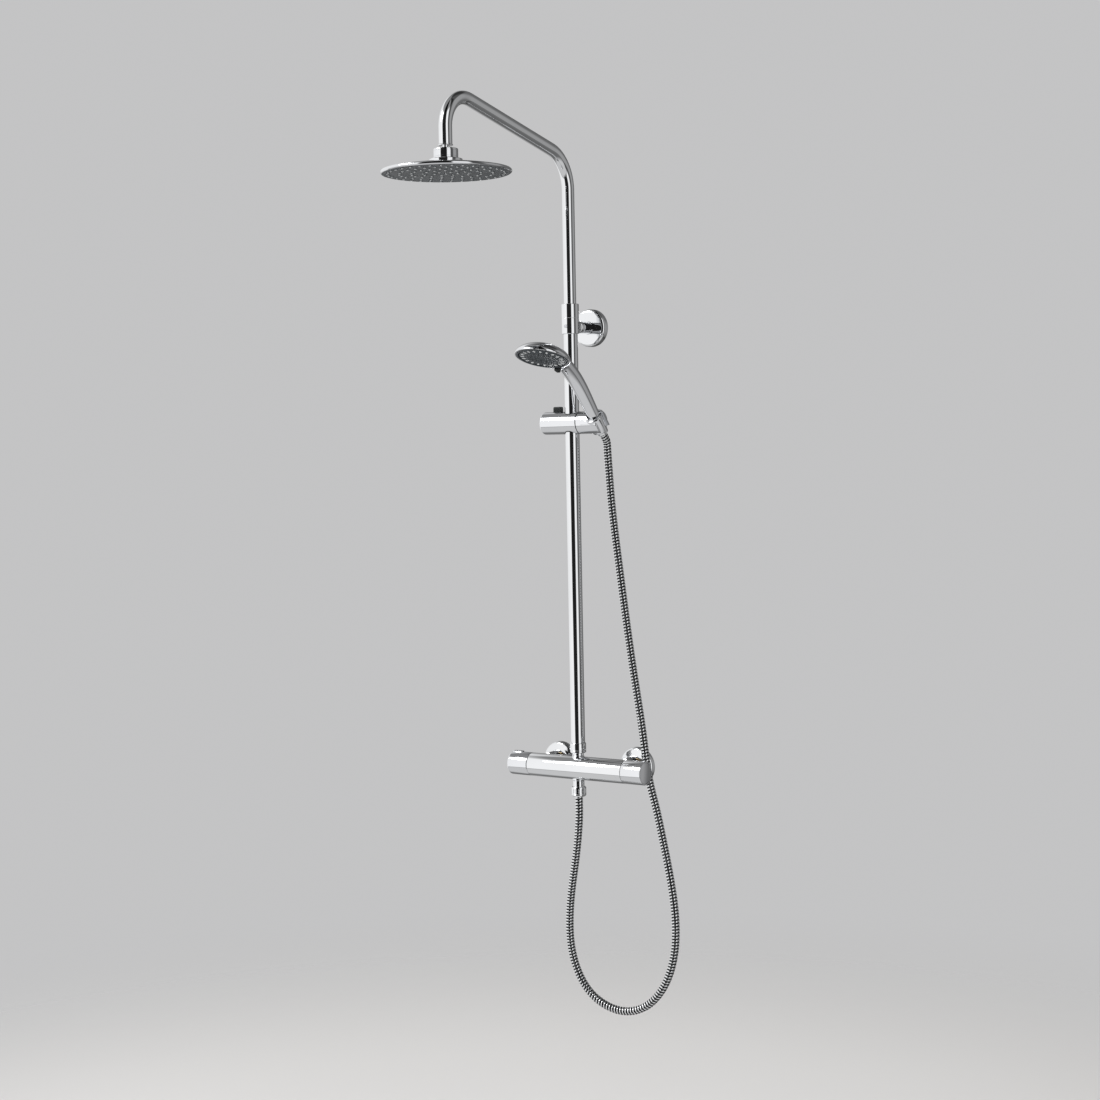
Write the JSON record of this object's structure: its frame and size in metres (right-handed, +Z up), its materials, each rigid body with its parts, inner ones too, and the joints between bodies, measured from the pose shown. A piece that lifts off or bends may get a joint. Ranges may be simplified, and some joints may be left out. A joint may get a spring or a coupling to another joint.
{
  "type": "rainfall shower column",
  "caption": "Wall-mounted chrome shower column: thermostatic bar valve, telescopic riser with swing arm and round overhead head, sliding holder with handset and metal hose.",
  "frame": {"origin": "on the finished wall plane, midway between the hot and cold inlets, at the height of the bar valve's axis", "axes": "+Z up along the riser, +Y into the wall, +X to the right of a person facing the wall"},
  "size_m": [0.2977, 0.505, 1.4502],
  "materials": {
    "chrome": "polished chrome plate",
    "chromed_plastic": "chrome plated plastic, polished",
    "hose_metal": "strip-wound stainless steel over a plastic hose",
    "brass": "machined",
    "steel": "zinc plated",
    "dark_face": "dark grey, satin",
    "pale_nozzle": "pale silicone",
    "rubber": "matt",
    "white_plastic": "moulded acetal",
    "black_plastic": "satin",
    "red_plastic": "moulded",
    "blue_plastic": "moulded"
  },
  "bodies": {
    "root": {"valve_body": "chrome", "thermostatic_cartridge": "brass", "flow_cartridge": "brass", "hot_inlet_nut": "chrome", "hot_eccentric_union": "brass", "hot_escutcheon": "chrome", "hot_filter_washer": "rubber", "hot_check_valve": "red_plastic", "cold_inlet_nut": "chrome", "cold_eccentric_union": "brass", "cold_escutcheon": "chrome", "cold_filter_washer": "rubber", "cold_check_valve": "blue_plastic", "hose_outlet_spigot": "chrome", "lower_hose_washer": "rubber", "lower_hose_nut": "chrome", "lower_hose_ferrule": "chrome", "riser_spigot": "chrome", "riser_foot_collar": "chrome", "lower_riser_tube": "chrome", "bracket_collar": "chrome", "bracket_post": "chrome", "bracket_flange_cover": "chrome", "bracket_wall_plate": "steel", "wall_screw_left": "steel", "wall_screw_right": "steel", "shower_hose": "hose_metal"},
    "temperature_control": {"temperature_knob": "chromed_plastic", "temperature_knob_cap": "chromed_plastic", "temperature_knob_screw": "steel"},
    "safety_stop": {"stop_button": "chromed_plastic"},
    "flow_control": {"flow_knob": "chromed_plastic", "flow_knob_cap": "chromed_plastic", "flow_knob_screw": "steel"},
    "telescope": {"telescope_guide": "white_plastic"},
    "arm": {"shower_arm": "chrome", "arm_end_connector": "chrome", "swivel_ball": "chrome"},
    "ball_seat": {"ball_seat_ring": "white_plastic"},
    "overhead_head": {"head_swivel_nut": "chrome", "head_base": "chrome", "head_shell": "chrome", "nozzle_mat": "pale_nozzle", "face_plate": "dark_face"},
    "slider_guide": {"slider_bush": "white_plastic"},
    "slider": {"slider_body": "chromed_plastic", "slider_end_cap": "chromed_plastic", "slider_button_spring": "steel", "lock_pad": "black_plastic", "friction_washer": "black_plastic", "cradle_axle_screw": "steel"},
    "release_button": {"slider_button": "black_plastic"},
    "handset_cradle": {"cradle": "chromed_plastic"},
    "handset": {"handset_shell": "chromed_plastic", "spray_face": "dark_face", "spray_nozzle_ring": "pale_nozzle", "hose_cone_nut": "chrome", "upper_hose_washer": "rubber", "upper_hose_ferrule": "chrome"},
    "spray_selector": {"selector_ring": "chromed_plastic"}
  },
  "joints": [
    {"name": "temperature_turn", "type": "hinge", "parent": "root", "child": "temperature_control", "pos_m": [0, -0.065, 0], "axis": [1, 0, 0], "range_deg": [-130, 130]},
    {"name": "stop_press", "type": "slide", "parent": "temperature_control", "child": "safety_stop", "axis": [0, 0, -1], "range_m": [0, 0.002], "stiffness_N_per_m": 800},
    {"name": "flow_turn", "type": "hinge", "parent": "root", "child": "flow_control", "pos_m": [0, -0.065, 0], "axis": [1, 0, 0], "range_deg": [-90, 90]},
    {"name": "riser_telescope", "type": "slide", "parent": "root", "child": "telescope", "axis": [0, 0, 1], "range_m": [-0.12, 0.1]},
    {"name": "arm_swing", "type": "hinge", "parent": "telescope", "child": "arm", "pos_m": [0, -0.065, 0.73], "axis": [0, 0, 1], "range_deg": [-60, 60]},
    {"name": "head_tilt_forward", "type": "hinge", "parent": "arm", "child": "ball_seat", "pos_m": [0, -0.39, 0.952], "axis": [1, 0, 0], "range_deg": [-12, 12]},
    {"name": "head_tilt_sideways", "type": "hinge", "parent": "ball_seat", "child": "overhead_head", "pos_m": [0, -0.39, 0.952], "axis": [0, 1, 0], "range_deg": [-12, 12]},
    {"name": "slider_height", "type": "slide", "parent": "root", "child": "slider_guide", "axis": [0, 0, 1], "range_m": [-0.2, 0.11], "deforming": ["shower_hose"]},
    {"name": "slider_swivel", "type": "hinge", "parent": "slider_guide", "child": "slider", "pos_m": [0, -0.065, 0.5595], "axis": [0, 0, 1], "range_deg": [-45, 45]},
    {"name": "release_press", "type": "slide", "parent": "slider", "child": "release_button", "axis": [0, 0, -1], "range_m": [0, 0.004], "stiffness_N_per_m": 1000, "deforming": ["slider_button_spring"]},
    {"name": "cradle_tilt", "type": "hinge", "parent": "slider", "child": "handset_cradle", "pos_m": [0, -0.065, 0.5595], "axis": [1, 0, 0], "range_deg": [-35, 20]},
    {"name": "handset_lift", "type": "slide", "parent": "handset_cradle", "child": "handset", "axis": [0, -0.6691, 0.7431], "range_m": [0, 0.045]},
    {"name": "spray_select", "type": "hinge", "parent": "handset", "child": "spray_selector", "pos_m": [0.048, -0.218, 0.656], "axis": [0, 0.309, 0.9511], "range_deg": [-25, 25]}
  ]
}
